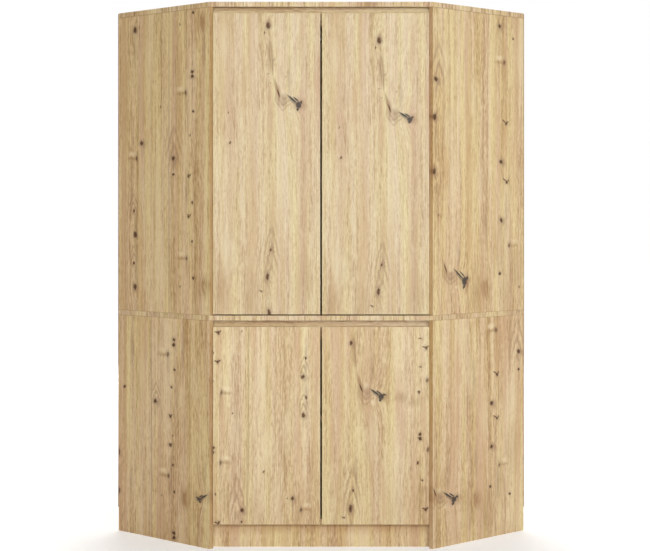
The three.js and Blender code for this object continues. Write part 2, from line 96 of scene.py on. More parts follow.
class Nodes:
    """Short calls for building a material's nodes. Inputs are sockets or plain values."""

    def __init__(self, owner):
        owner.use_nodes = True
        self.tree = owner.node_tree
        self.tree.nodes.clear()

    def new(self, kind, inputs=None, **settings):
        node = self.tree.nodes.new(kind)
        for key, value in settings.items():
            setattr(node, key, value)
        for key, value in (inputs or {}).items():
            self.put(node.inputs[key], value)
        return node

    def put(self, socket, value):
        if isinstance(value, bpy.types.NodeSocket):
            self.tree.links.new(value, socket)
        elif value is not None:
            socket.default_value = value

    def math(self, operation, first, second=None, third=None):
        inputs = {0: first, 1: second, 2: third}
        return self.new("ShaderNodeMath", inputs, operation=operation).outputs[0]

    def vector(self, operation, first, second=None, third=None):
        inputs = {0: first, 1: second, 2: third}
        node = self.new("ShaderNodeVectorMath", inputs, operation=operation)
        scalar = operation in ("DOT_PRODUCT", "LENGTH", "DISTANCE")
        return node.outputs["Value" if scalar else "Vector"]

    def combine(self, x, y, z):
        return self.new("ShaderNodeCombineXYZ", {0: x, 1: y, 2: z}).outputs[0]

    def noise(self, place, waves, detail=2.0, roughness=0.5, output="Fac"):
        """Noise with so many waves a metre along each axis."""
        spaced = self.vector("MULTIPLY", place, waves)
        inputs = {"Vector": spaced, "Scale": 1.0, "Detail": detail, "Roughness": roughness}
        return self.new("ShaderNodeTexNoise", inputs).outputs[output]

    def swing(self, layer, weight, middle):
        """The middle value, moved up and down by a noise layer."""
        return self.math("MULTIPLY_ADD", self.math("SUBTRACT", layer, 0.5), weight, middle)

    def shifted(self, place, colour, amount):
        """The place, moved by up to half the amount either way, as a noise's colour says."""
        least = (-amount / 2, -amount / 2, 0)
        shift = self.vector("MULTIPLY_ADD", colour, (amount, amount, 0), least)
        return self.vector("ADD", place, shift)

    def spread(self, value, low, high, to_low=0.0, to_high=1.0, smooth=False):
        """The value, brought from one range to the other and kept inside it."""
        inputs = {
            "Value": value, "From Min": low, "From Max": high, "To Min": to_low, "To Max": to_high}
        kind = "SMOOTHSTEP" if smooth else "LINEAR"
        return self.new("ShaderNodeMapRange", inputs, interpolation_type=kind).outputs["Result"]

    def parts(self, vector):
        """The three components of a vector."""
        return self.new("ShaderNodeSeparateXYZ", {0: vector}).outputs

    def mix(self, factor, first, second, blend="MIX"):
        """A mix of two colours, which are the node's inputs 6 and 7 and its output 2."""
        inputs = {0: factor, 6: first, 7: second}
        return self.new("ShaderNodeMix", inputs, data_type="RGBA", blend_type=blend).outputs[2]

    def mix_places(self, factor, first, second):
        """A mix of two vectors, which are the node's inputs 4 and 5 and its output 1."""
        inputs = {0: factor, 4: first, 5: second}
        return self.new("ShaderNodeMix", inputs, data_type="VECTOR").outputs[1]

    def ramp(self, value, stops):
        """The colour at the value, from stops of a position and a colour."""
        node = self.new("ShaderNodeValToRGB", {"Fac": value})
        elements = node.color_ramp.elements
        while len(elements) < len(stops):
            elements.new(1.0)
        for element, (position, colour) in zip(elements, stops):
            element.position = position
            element.color = colour
        return node.outputs["Color"]

    def surface(self, colour, roughness, height, distance, **settings):
        """A surface whose height swings by the distance. Settings are inputs, _ for a space."""
        inputs = {"Base Color": colour, "Roughness": roughness}
        shader = self.new("ShaderNodeBsdfPrincipled", inputs)
        for name, value in settings.items():
            shader.inputs[name.replace("_", " ")].default_value = value
        bump = self.new("ShaderNodeBump", {"Height": height, "Distance": distance})
        self.put(shader.inputs["Normal"], bump.outputs[0])
        output = self.new("ShaderNodeOutputMaterial")
        self.put(output.inputs["Surface"], shader.outputs[0])


# Oak colours
OAK_DEEP = srgb(176, 142, 103)
OAK_TAN = srgb(206, 177, 138)
OAK_MAIN = srgb(224, 202, 163)
OAK_CREAM = srgb(236, 220, 183)
OAK_ROSY = srgb(211, 177, 141)
KNOT_CORE = srgb(82, 48, 18)
KNOT_CORE_WARM = srgb(72, 38, 6)
CRACK_CORE = srgb(30, 22, 22)
KNOT_HALO = srgb(156, 122, 100)
BURL_BROWN = srgb(168, 130, 88)
# Painted shade on the side panels' front edges
EDGE_SHADE_BROWN = srgb(170, 124, 70)
# Brown of the painted shade where boards meet and under the bottom board, and of the ticks
SHADE_AND_TICK_BROWN = srgb(152, 106, 62)
FIGURE_LINE = srgb(170, 134, 102)
PALE_STREAK = srgb(238, 222, 188)
YELLOWISH = (1.0, 1.0, 0.89, 1.0)
PINKISH = (1.0, 0.975, 1.03, 1.0)
OAK_STOPS = ((0.0, OAK_DEEP), (0.33, OAK_TAN), (0.6, OAK_MAIN), (1.0, OAK_CREAM))

# How many waves a metre the grain's layers have across the grain, across its depth and along it
SWAY_WAVES = (6, 6, 1.2)
CLOUD_WAVES = (13, 13, 1.3)
ROSY_WAVES = (21, 21, 1.0)
HUE_WAVES = (40, 40, 1.1)
BROAD_WAVES = (28, 28, 0.8)
STREAK_WAVES = (95, 95, 1.3)
LINE_WAVES = (230, 230, 12.0)
STROKE_WAVES = (330, 330, 48.0)
PORE_WAVES = (950, 950, 70.0)
TICK_WAVES = (120, 120, 8)
RAGGED_WAVES = (85, 85, 55)
RELIEF_WAVES = (700, 700, 22)
YEAR_WAVES = (150.0, 60.0, 0)

# How far each layer swings the tone, which runs from 0 to 1 over the oak's colours
TONE_MIDDLE = 0.6
STAVE_SWING = 0.17
BROAD_SWING = 0.75
LINE_SWING = 1.0
# Waves, detail and swing of the other layers
OTHER_SWINGS = ((CLOUD_WAVES, 2.0, 0.85), (STREAK_WAVES, 2.0, 0.7), (STROKE_WAVES, 1.0, 0.9))

# Between which values of its noise each colour comes in, and how strongly
ROSY_RANGE, ROSY_SHARE = (0.50, 0.72), 0.6
HUE_REACH = 0.16
YEAR_LINE_START = 0.7
YEAR_LINE_RANGE, YEAR_LINE_SHARE = (0.6, 0.4), 0.3
PORE_RANGE, PORE_SHARE = (0.42, 0.30), 0.45
TAN_RANGE, TAN_SHARES = (0.35, 0.62), (1.25, 0.6)
TICK_RANGE = (0.43, 0.33)
# Painted shade on the front edges: from which facing it comes in, and how strongly
SHADED_EDGE_FACING, EDGE_SHADE_SHARE = (0.85, 0.95), 0.42
LEVEL_NORMAL = 0.5

# Surface of the boards: height of the relief, gloss, and how rough wood, fine lines and knots are
BOARD_RELIEF = 0.00008
OAK_SPECULAR = 0.3
OAK_ROUGHNESS = 0.44
LINE_ROUGHNESS = 0.16
KNOT_ROUGHNESS = 0.15

# How far the grain sways, how ragged the marks are, and how far one step of a seed shifts it all
SWAY = 0.02
RAGGED = 0.014
SEED_SHIFT = (1.7, 2.3, 0.9)

# Glued staves
STAVE_WIDTH = 0.052
STAVE_SHORTEST = 0.216
STAVE_LENGTH_RANGE = 0.288
STAVE_START_RANGE = 7.0
STAVE_UNEVEN_WAVES = 31.0
STAVE_UNEVEN = 0.014
STAVE_SHIFT = 10.0

# Year lines that arch over a knot
ARCH_COUNT = 1.85
ARCH_SLOPE = 1.5
ARCH_ROUNDING = 0.02
ARCH_LINE_RANGE = (0.15, 0.5)
ARCH_FULL_WITHIN = 0.3

# How the grain bends round a mark, and how far a knot's halo reaches in half sizes
BEND_PINCH = 0.7
HALO_REACH = 2.2

# Scattered knots: spacing, half size of the biggest, and how chance picks them
SCATTER_ACROSS = 0.13
SCATTER_ALONG = 0.30
SCATTER_KNOT = (0.006, 0.012, 1)
SCATTER_SWELL = (0.02, 0.06, 1)
SCATTER_BEND = 0.02
SCATTER_CHANCE = (0.55, 0.95)
SCATTER_LEAST_CHANCE = 0.02
SCATTER_LEAST_SIZE = 0.15
# From where to where a scattered knot and its halo fade in, and how strong they are
SCATTER_DARK_FADE, SCATTER_DARK = (1.0, 0.5), 0.85
SCATTER_BROWN_FADE, SCATTER_BROWN = (2.4, 0.6), 0.5


def tinted(colour, tint):
    """The colour with each channel scaled by the tint."""
    return tuple(channel * share for channel, share in zip(colour, (*tint, 1.0)))


def oak_material(
    name, marks=None, across=FRONT_ACROSS, offset=(0, 0, 0), seed=0.0, tint=(1, 1, 1),
    contrast=1.0, core=KNOT_CORE, shaded_edge_normal=None, shade_bands=(), lying=False, ticks=0.0,
):
    """Light oak décor, its grain upright, or along X on level faces and on lying boards.

    The marks bend the grain round them. A board without marks has knots here and there.
    """
    material = bpy.data.materials.new(name)
    n = Nodes(material)
    coordinates = n.new("ShaderNodeTexCoord").outputs
    place = n.vector("SUBTRACT", coordinates["Object"], tuple(offset))
    normal = coordinates["Normal"]
    upwards = n.math("ABSOLUTE", n.parts(normal)[2])
    level = 1.0 if lying else n.math("GREATER_THAN", upwards, LEVEL_NORMAL)

    board = board_place(n, place, across, level, lying)
    ragged = n.shifted(board, n.noise(place, RAGGED_WAVES, 2.0, 0.6, "Color"), RAGGED)
    if marks is None:
        bend, masks = scattered_marks(n, ragged, seed)
    else:
        bend, masks = drawn_marks(n, marks, board, ragged)

    flow = grain_flow(n, place, across, level, bend, seed)
    fine = n.noise(flow, LINE_WAVES, 2.0, 0.6)
    colour = grain_colour(n, flow, fine, stave_tone(n, board, seed), masks, tint, contrast)
    colour = marked_colour(n, colour, fine, masks, tint, core)
    colour = edge_colour(n, colour, place, normal, level, shaded_edge_normal, ticks, shade_bands)

    roughness = n.math("MULTIPLY_ADD", fine, LINE_ROUGHNESS, OAK_ROUGHNESS)
    roughness = n.math("MULTIPLY_ADD", masks["dark"], KNOT_ROUGHNESS, roughness)
    relief = n.noise(place, RELIEF_WAVES, 2.0, 0.6)
    n.surface(colour, roughness, relief, BOARD_RELIEF, Specular_IOR_Level=OAK_SPECULAR)
    return material


def board_place(n, place, across, level, lying):
    """The place on the board's face: across the grain and along it."""
    x, y, z = n.parts(place)
    upright = n.combine(n.vector("DOT_PRODUCT", place, tuple(across)), z, 0.0)
    return n.mix_places(level, upright, n.combine(z if lying else y, x, 0.0))


def grain_flow(n, place, across, level, bend, seed):
    """The place as the bent and swaying grain sees it. The grain runs along the third axis."""
    x, y, z = n.parts(place)
    push = n.vector("MULTIPLY", n.combine(bend, bend, bend), tuple(across))
    upright = n.vector("ADD", place, push)
    flow = n.mix_places(level, upright, n.combine(n.math("ADD", y, bend), z, x))
    flow = n.vector("ADD", flow, tuple(seed * share for share in SEED_SHIFT))
    return n.shifted(flow, n.noise(flow, SWAY_WAVES, 1.0, 0.5, "Color"), SWAY)


def grain_colour(n, flow, fine, staves, masks, tint, contrast):
    """The grain's colour, from the staves and broad streaks down to the year lines and pores."""
    broad = n.noise(flow, BROAD_WAVES)
    tone = n.math("MULTIPLY_ADD", staves, STAVE_SWING, TONE_MIDDLE)
    tone = n.swing(broad, BROAD_SWING * contrast, tone)
    tone = n.swing(fine, LINE_SWING * contrast, tone)
    for waves, detail, weight in OTHER_SWINGS:
        tone = n.swing(n.noise(flow, waves, detail, 0.55), weight * contrast, tone)
    colour = n.ramp(tone, [(stop, tinted(shade, tint)) for stop, shade in OAK_STOPS])

    blush = n.spread(n.noise(flow, ROSY_WAVES), *ROSY_RANGE, 0.0, ROSY_SHARE, smooth=True)
    colour = n.mix(n.math("MAXIMUM", blush, masks["rosy"]), colour, tinted(OAK_ROSY, tint))
    reach = HUE_REACH / contrast
    hue = n.spread(n.noise(flow, HUE_WAVES, 1.0), 0.5 - reach, 0.5 + reach)
    colour = n.mix(1.0, colour, n.mix(hue, YELLOWISH, PINKISH), "MULTIPLY")

    year = n.math("FRACT", n.vector("DOT_PRODUCT", flow, YEAR_WAVES))
    line = n.spread(year, YEAR_LINE_START, 1.0, smooth=True)
    line = n.math("MULTIPLY", line, n.spread(broad, *YEAR_LINE_RANGE, 0.0, YEAR_LINE_SHARE))
    colour = n.mix(line, colour, FIGURE_LINE)
    colour = n.mix(masks["arch"], colour, FIGURE_LINE)
    pore = n.spread(n.noise(flow, PORE_WAVES, 1.0), *PORE_RANGE, 0.0, PORE_SHARE, smooth=True)
    return n.mix(pore, colour, OAK_DEEP)


def marked_colour(n, colour, fine, masks, tint, core):
    """The colour with its pale and tan patches, halos, knots and cracks."""
    colour = n.mix(masks["pale"], colour, tinted(PALE_STREAK, tint))
    streaky = n.spread(fine, *TAN_RANGE, *TAN_SHARES)
    colour = n.mix(n.math("MULTIPLY", masks["tan"], streaky), colour, tinted(BURL_BROWN, tint))
    colour = n.mix(masks["brown"], colour, tinted(KNOT_HALO, tint))
    colour = n.mix(masks["dark"], colour, core)
    return n.mix(masks["crack"], colour, CRACK_CORE)


def edge_colour(n, colour, place, normal, level, shaded_edge_normal, ticks, shade_bands):
    """Painted shade on the front edge, at the seams and on the plinth, and ticks on upright faces.
    """
    # Painted shade on the front edge, by the way the face points
    if shaded_edge_normal:
        facing = n.vector("DOT_PRODUCT", normal, shaded_edge_normal)
        colour = n.mix(n.spread(facing, *SHADED_EDGE_FACING, 0.0, EDGE_SHADE_SHARE), colour, EDGE_SHADE_BROWN)
    if ticks:
        tick = n.spread(n.noise(place, TICK_WAVES, 1.0, 0.6), *TICK_RANGE, 0.0, ticks, smooth=True)
        tick = n.math("MULTIPLY", tick, n.math("SUBTRACT", 1.0, level))
        colour = n.mix(tick, colour, SHADE_AND_TICK_BROWN)
    # Painted shade: dark lines where boards meet and a band under the bottom board
    height = n.parts(place)[2]
    for shade_height, half, share in shade_bands:
        apart = n.math("ABSOLUTE", n.math("SUBTRACT", height, shade_height))
        colour = n.mix(n.spread(apart, half, 0.0, 0.0, share), colour, SHADE_AND_TICK_BROWN)
    return colour


NO_MARKS = dict.fromkeys(("dark", "crack", "brown", "tan", "pale", "arch", "rosy"), 0.0)


def stave_tone(n, board, seed):
    """A tone between -0.5 and 0.5 for each glued stave of the board."""
    parts = n.parts(board)
    wave = n.math("SINE", n.math("MULTIPLY", parts[0], STAVE_UNEVEN_WAVES))
    across = n.math("ADD", parts[0], n.math("MULTIPLY", wave, STAVE_UNEVEN))
    across = n.math("ADD", across, STAVE_SHIFT + seed)
    column = n.math("FLOOR", n.math("DIVIDE", across, STAVE_WIDTH))
    chance = n.new("ShaderNodeTexWhiteNoise", {"W": column}, noise_dimensions="1D").outputs["Value"]
    start = n.math("MULTIPLY", chance, STAVE_START_RANGE)
    length = n.math("MULTIPLY_ADD", chance, STAVE_LENGTH_RANGE, STAVE_SHORTEST)
    row = n.math("FLOOR", n.math("ADD", n.math("DIVIDE", parts[1], length), start))
    cell = {"Vector": n.combine(column, row, seed)}
    tone = n.new("ShaderNodeTexWhiteNoise", cell, noise_dimensions="3D").outputs["Value"]
    return n.math("SUBTRACT", tone, 0.5)


def swell_of(n, local):
    """1 in the middle of a mark, falling off smoothly beyond its half sizes."""
    return n.math("POWER", n.math("ADD", n.vector("DOT_PRODUCT", local, local), 1.0), -2.0)


def scattered_marks(n, ragged, seed):
    """Small knots here and there on the boards that the photograph doesn't show."""
    spacing = (SCATTER_ACROSS, SCATTER_ALONG, 1)
    spaced = n.vector("DIVIDE", n.vector("ADD", ragged, (seed, seed, 0)), spacing)
    inputs = {"Vector": spaced, "Scale": 1.0}
    cells = n.new("ShaderNodeTexVoronoi", inputs, voronoi_dimensions="2D").outputs
    away = n.vector("SUBTRACT", spaced, cells["Position"])
    local = n.vector("MULTIPLY", away, (SCATTER_ACROSS, SCATTER_ALONG, 0))
    chance = n.parts(cells["Color"])[0]
    chosen = n.spread(chance, *SCATTER_CHANCE)
    reach = n.vector("LENGTH", n.vector("DIVIDE", local, SCATTER_KNOT))
    reach = n.math("DIVIDE", reach, n.math("MULTIPLY_ADD", chosen, 1.0, SCATTER_LEAST_SIZE))
    there = n.math("GREATER_THAN", chosen, SCATTER_LEAST_CHANCE)
    dark = n.spread(reach, *SCATTER_DARK_FADE, 0.0, SCATTER_DARK, smooth=True)
    dark = n.math("MULTIPLY", dark, there)
    brown = n.spread(reach, *SCATTER_BROWN_FADE, 0.0, SCATTER_BROWN, smooth=True)
    brown = n.math("MULTIPLY", brown, there)
    swell = swell_of(n, n.vector("DIVIDE", local, SCATTER_SWELL))
    bend = n.math("MULTIPLY", n.math("MULTIPLY", swell, chosen), SCATTER_BEND)
    return bend, {**NO_MARKS, "dark": dark, "brown": brown}


def mark_place(n, mark, board, ragged):
    """The place as seen from the mark: turned with it, and 1 at its outline."""
    local = n.new("ShaderNodeMapping", vector_type="TEXTURE")
    local.inputs["Location"].default_value = (*mark.place, 0)
    local.inputs["Rotation"].default_value = (0, 0, mark.turn)
    local.inputs["Scale"].default_value = (*mark.half, 1)
    n.put(local.inputs["Vector"], board if mark.straight else ragged)
    return local.outputs[0]


def drawn_marks(n, marks, board, ragged):
    """What the marks do to the board: how far they bend its grain, and their masks by kind."""
    bend = 0.0
    masks = dict(NO_MARKS)

    def cover(kind, mask):
        masks[kind] = n.math("MAXIMUM", mask, masks[kind])

    for mark in marks:
        local = mark_place(n, mark, board, ragged)
        if mark.kind == "bend":
            side = n.parts(local)[0]
            push = n.math("MULTIPLY_ADD", side, -BEND_PINCH * mark.half[0], mark.strength)
            bend = n.math("MULTIPLY_ADD", swell_of(n, local), push, bend)
        elif mark.kind == "arch":
            parts = n.parts(local)
            side = n.math("SQRT", n.math("MULTIPLY_ADD", parts[0], parts[0], ARCH_ROUNDING))
            arch = n.math("MULTIPLY_ADD", side, ARCH_SLOPE, parts[1])
            lines = n.math("PINGPONG", n.math("MULTIPLY", arch, ARCH_COUNT), 0.5)
            lines = n.spread(lines, *ARCH_LINE_RANGE, 0.0, mark.strength, smooth=True)
            near = n.spread(n.vector("LENGTH", local), 1.0, ARCH_FULL_WITHIN, smooth=True)
            cover("arch", n.math("MULTIPLY", lines, near))
        else:
            reach = n.vector("LENGTH", local)
            cover(mark.kind, n.spread(reach, 1.0, mark.hard, 0.0, mark.strength, smooth=True))
            if mark.halo:
                cover("brown", n.spread(reach, HALO_REACH, 0.0, 0.0, mark.halo, smooth=True))
    return bend, masks


class Mark:
    """One ellipse of a mark on a board.

    The place and half sizes are in metres, across the grain and along it. The turn is in degrees
    anticlockwise. The mask has its full strength within the hard share of the half sizes. A bend's
    strength is in metres.
    """

    def __init__(self, kind, place, half, strength, hard=0.3, turn=0.0, halo=0.0, straight=False):
        self.kind = kind
        self.place = place
        self.half = half
        self.strength = strength
        self.hard = hard
        self.halo = halo
        self.turn = math.radians(turn)
        self.straight = straight or kind == "bend"


def soft(kind, place, half, strength):
    """A mark that fades out evenly from its middle."""
    return Mark(kind, place, half, strength, hard=0.0)


# What follows draws the marks. Places, half sizes and the ends of strokes are in metres, seen from
# the knot, and the strength comes after them. "wide" stretches a mark on a surface seen at a slant.
def beside(place, across, up):
    return place[0] + across, place[1] + up


STROKE_HARD = 0.35


def stroke(kind, place, wide, start, end, half_width, strength, halo=0.0):
    """A straight mark from one end to the other, both seen from the knot."""
    along = [(start[0] - end[0]) * wide, start[1] - end[1]]
    middle = beside(place, (start[0] + end[0]) * wide / 2, (start[1] + end[1]) / 2)
    half = (half_width, math.hypot(*along) / 2)
    turn = math.degrees(math.atan2(-along[0], along[1]))
    return Mark(kind, middle, half, strength, STROKE_HARD, turn, halo, straight=True)


def eye(place, wide):
    """A tall oval knot with a brown halo and a tail below."""
    return [
        Mark("bend", place, (0.030 * wide, 0.085), 0.010),
        soft("brown", beside(place, 0.003, -0.075), (0.009 * wide, 0.085), 0.26),
        Mark("dark", place, (0.0080 * wide, 0.0150), 0.92, hard=0.4, halo=0.72),
    ]


def spot(place, wide):
    """A middling round knot with a halo and a short tail."""
    return [
        soft("brown", beside(place, 0.001, -0.028), (0.006 * wide, 0.040), 0.28),
        Mark("brown", beside(place, 0.005 * wide, -0.003), (0.019 * wide, 0.025), 0.55, hard=0.1),
        Mark("dark", place, (0.0072 * wide, 0.0100), 0.94, hard=0.4, halo=0.58),
    ]


def dot(place, wide):
    return [Mark("dark", place, (0.0048 * wide, 0.0068), 0.92, hard=0.45, halo=0.3)]


def speck(place, wide):
    return [Mark("dark", place, (0.0034 * wide, 0.0066), 0.8, hard=0.3)]


def double(place, wide):
    """Two round knots, one above the other."""
    half = (0.0070 * wide, 0.0082)
    centres = [beside(place, 0, up) for up in (0.0078, -0.0072)]
    return [Mark("dark", centre, half, 0.96, hard=0.45, halo=0.5) for centre in centres]


def hook(place, wide, to=1):
    """A brown knot with a bar to one side under a pale patch, and a faint tail below."""
    return [
        soft("pale", beside(place, to * 0.017 * wide, 0.015), (0.022 * wide, 0.013), 0.85),
        Mark(
            "tan", beside(place, to * 0.017 * wide, -0.001), (0.028 * wide, 0.009), 0.65, hard=0.1),
        soft("tan", beside(place, -to * 0.003, -0.040), (0.010 * wide, 0.050), 0.4),
        Mark("dark", place, (0.0060 * wide, 0.0130), 0.78, hard=0.1, halo=0.4),
    ]


def hook_left(place, wide):
    return hook(place, wide, -1)


def vee(place, wide, reach=1.0, rise=0.006):
    """A knot with a long arm up to the left and a short one up to the right."""
    return [
        Mark("dark", place, (0.0058 * wide, 0.0080), 0.94, hard=0.3, halo=0.45),
        stroke("dark", place, wide, (-0.016 * reach, rise), (0.001, 0.0), 0.0036, 0.85),
        stroke("dark", place, wide, (0.009, 0.010), (0.0, -0.001), 0.0034, 0.85),
    ]


def crack(place, wide, tall=1.0, to=1):
    """A big knot that has split: two cracks run down from one side into a knot with two lobes."""

    def at(across, up):
        return across * to, up * tall

    def lobe(across, up, half_across, half_up, strength, halo=0.0):
        centre = beside(place, across * to * wide, up * tall)
        half = (half_across * wide, half_up * tall)
        return Mark("crack", centre, half, strength, hard=0.5, halo=halo)

    return [
        Mark("bend", place, (0.045, 0.08), 0.014 * to),
        soft("brown", beside(place, -to * 0.030, 0.085), (0.010 * wide, 0.090), 0.35),
        soft("pale", beside(place, -to * 0.050 * wide, 0.036), (0.016 * wide, 0.016), 0.6),
        soft("pale", beside(place, -to * 0.028 * wide, -0.022), (0.010 * wide, 0.012), 0.7),
        soft("tan", beside(place, to * 0.016 * wide, 0.000), (0.018 * wide, 0.030), 0.45),
        soft("brown", beside(place, -to * 0.046 * wide, 0.012), (0.024 * wide, 0.036), 0.5),
        stroke("crack", place, wide, at(-0.036, 0.027), at(0.004, -0.008), 0.0090, 0.55),
        stroke("crack", place, wide, at(-0.042, 0.035), at(0.003, -0.004), 0.0050, 0.97),
        stroke("crack", place, wide, at(-0.021, 0.027), at(0.006, 0.004), 0.0040, 0.92),
        lobe(0.000, -0.003, 0.0118, 0.0150, 0.90, 0.6),
        lobe(0.009, 0.005, 0.0066, 0.0066, 0.88),
        lobe(-0.002, -0.017, 0.0064, 0.0080, 0.93),
    ]


def crack_right(place, wide, tall=1.0):
    """The same, narrower, with its cracks to the right."""
    return crack(place, 0.75 * wide, tall, -1)


def curl(place, wide, tall=1.0):
    """A short crack beside a pale spot, with year lines curling below."""
    top, bottom = (-0.006 * tall, 0.018 * tall), (0.006 * tall, -0.018 * tall)
    return [
        soft("pale", beside(place, 0.013 * wide, 0.006), (0.011 * wide, 0.014), 0.5),
        Mark("arch", beside(place, 0.016 * wide, -0.034), (0.040 * wide, 0.034), 0.6, turn=170),
        soft("tan", beside(place, -0.002, -0.010), (0.016 * wide, 0.050), 0.7),
        stroke("dark", place, wide, top, bottom, 0.0032, 1.0, halo=0.5),
    ]


def freckle(place, wide):
    return [Mark("brown", place, (0.0042 * wide, 0.0060), 0.6, hard=0.1)]


def stem(place, wide):
    """The brown line that runs down from a knot and turns into the split one's curls."""
    return [
        stroke("tan", place, wide, (-0.008, 0.120), (0.002, -0.040), 0.0110, 0.6),
        stroke("tan", place, wide, (0.001, -0.015), (0.030, -0.110), 0.0080, 0.8),
        stroke("brown", place, wide, (-0.004, 0.110), (0.005, -0.045), 0.0030, 0.55),
    ]


def dash(place, wide):
    """A short crack that lies almost level."""
    return [Mark("dark", place, (0.0070 * wide, 0.0034), 0.85, hard=0.4, turn=-12, halo=0.4)]


def burl(place, wide):
    """A brown patch of curly grain."""
    return [
        soft("tan", place, (0.030 * wide, 0.060), 0.85),
        soft("tan", beside(place, -0.006, 0.012), (0.012 * wide, 0.028), 1.0),
        Mark("bend", place, (0.024, 0.04), 0.012),
    ]


def flame(place, wide):
    """Year lines that arch over a knot."""
    return [Mark("arch", place, (0.040 * wide, 0.115), 0.65)]


def small_flame(place, wide):
    return [Mark("arch", place, (0.026 * wide, 0.055), 0.65)]


def brown_streak(place, wide):
    return [soft("brown", place, (0.009 * wide, 0.110), 0.42)]


def pale_streak(place, wide):
    return [soft("pale", place, (0.022 * wide, 0.120), 0.40)]


def rosy_streak(place, wide):
    return [soft("rosy", place, (0.016 * wide, 0.180), 0.75)]


def tan_cloud(place, wide, strength=0.32):
    """A wide soft patch of browner wood."""
    return [soft("tan", place, (0.042 * wide, 0.140), strength)]


def tan_patch(place, wide):
    return [soft("tan", place, (0.040 * wide, 0.030), 0.55)]


def pale_line(place, wide):
    return [soft("pale", place, (0.006 * wide, 0.200), 0.5)]


def joint(place, wide):
    """The fine dark line of a glued joint."""
    return [Mark("brown", place, (0.0022 * wide, 0.480), 0.5, hard=0.4, straight=True)]


def rosy_stave(place, wide, half=0.011, strength=0.6):
    return [Mark("rosy", place, (half * wide, 1.500), strength, hard=0.5)]


def marks_of(marks_px, across, point, wide):
    """The marks of a surface, from the places in the photograph of each kind of mark."""
    marks = []
    for draw, places_px in marks_px.items():
        for place_px in places_px:
            marks += draw(on_surface(place_px[:2], across, point), wide, *place_px[2:])
    return marks


# Marks on the eight big surfaces, by the photograph's pixels, some with further values for their
# function. Both upper doors carry one print, which lies further across and lower on the right door.
UPPER_DOOR_PX = {
    eye: ((268, 25.5), (267.5, 276.5), (268.8, 313)),
    dot: ((270.3, 249.8), (230, 143)),
    speck: ((264.7, 32.5), (227.8, 112.8)),
    freckle: ((268.3, 74), (285.8, 76.7), (274, 60), (270.5, 82.5)),
    stem: ((272, 69),),
    crack: ((298.3, 104),),
    curl: ((278.5, 93.3),),
    dash: ((260.8, 290.8),),
    flame: ((271.5, 250),),
    tan_cloud: ((222, 290), (250, 296), (306, 284)),
    brown_streak: ((272, 250),),
    pale_streak: ((226, 250), (234, 255), (224, 45)),
    pale_line: ((277.5, 168), (282, 190)),
    rosy_streak: ((244, 88), (302, 28), (317, 90), (302, 262), (271, 120), (273, 215), (222, 288)),
}
UPPER_RIGHT_DOOR_PX = {**UPPER_DOOR_PX, crack: ((298.8, 103.5, 0.7),)}
LOWER_LEFT_DOOR_PX = {
    vee: ((218.7, 333), (218.3, 362.2), (218, 523.5)),
    speck: (
        (212.8, 352.5), (212.8, 380.8), (232.5, 413.3), (241.7, 331.7), (287, 498), (215, 494),
        (264, 472),
    ),
    hook: ((221.2, 392.8), (221, 462.5), (301, 509.5)),
    dot: ((305.8, 358.7), (305.8, 397.2), (242, 522)),
    spot: ((303, 376.3), (303, 415), (242.3, 510.5), (292.5, 498.5)),
    double: ((212.5, 450.3),),
    small_flame: ((304, 367), (303.5, 405)),
    flame: ((236.5, 498),),
    tan_cloud: ((225, 505, 0.2), (300, 510, 0.2), (258, 516, 0.2)),
    brown_streak: ((306, 360), (306, 400)),
    joint: ((248.5, 400), (247, 500)),
    pale_streak: ((262, 380), (268, 450), (236, 430), (286, 430)),
    rosy_streak: ((219, 350), (222, 420), (298, 440), (298, 350), (314, 440)),
}
LOWER_RIGHT_DOOR_PX = {
    spot: ((350.8, 343.3),),
    eye: ((350.5, 508.5),),
    flame: ((352.5, 490),),
    tan_cloud: ((340, 505, 0.22), (395, 506, 0.22), (420, 500, 0.22)),
    tan_patch: ((401, 397), (414, 402)),
    dot: ((353.5, 491), (418.5, 392.5), (418.5, 463)),
    dash: ((420.2, 338.7), (420.5, 366.7), (422.5, 480), (343.5, 517)),
    hook: ((427.5, 380), (428, 449.5)),
    vee: ((426.3, 348), (426, 509.5)),
    double: ((420.2, 436.2),),
    curl: ((361, 388),),
    stem: ((355, 364),),
    crack: ((381.3, 396.3, 0.8),),
    brown_streak: ((356, 474),),
    pale_streak: ((372, 440),),
    pale_line: ((358, 430), (376, 440)),
    rosy_streak: ((402, 425), (424, 420), (384, 500), (332, 440), (398, 405)),
}
LEFT_UPPER_SIDE_PX = {
    eye: ((135.3, 30.5), (135.3, 235), (135.3, 287)),
    spot: ((173.3, 158.5), (141.7, 143.3)),
    dot: (
        (193.2, 12.5), (193.2, 111.3), (134, 211), (134, 263), (173.3, 174.2), (193.2, 278),
        (192, 202.5), (192, 241.7),
    ),
    speck: ((179.8, 24.5), (160.8, 106.2), (190.3, 135.8), (179.8, 286.7)),
    double: ((192.3, 74.2),),
    hook_left: ((185.7, 93), (136.7, 158.3), (186.7, 258.3)),
    vee: ((188.7, 176.5, 0.35, 0.009), (188.7, 216.5, 0.35, 0.009)),
    burl: ((202, 21.7), (203.7, 286.7)),
    flame: ((174, 148),),
    small_flame: ((133.5, 204), (134, 255)),
    joint: ((169, 90), (169, 230)),
    rosy_stave: ((123.8, 160),),
    brown_streak: ((135, 40), (135.5, 220), (136, 270), (204, 50), (187, 190)),
    pale_streak: ((158, 200), (164, 270), (150, 60)),
}
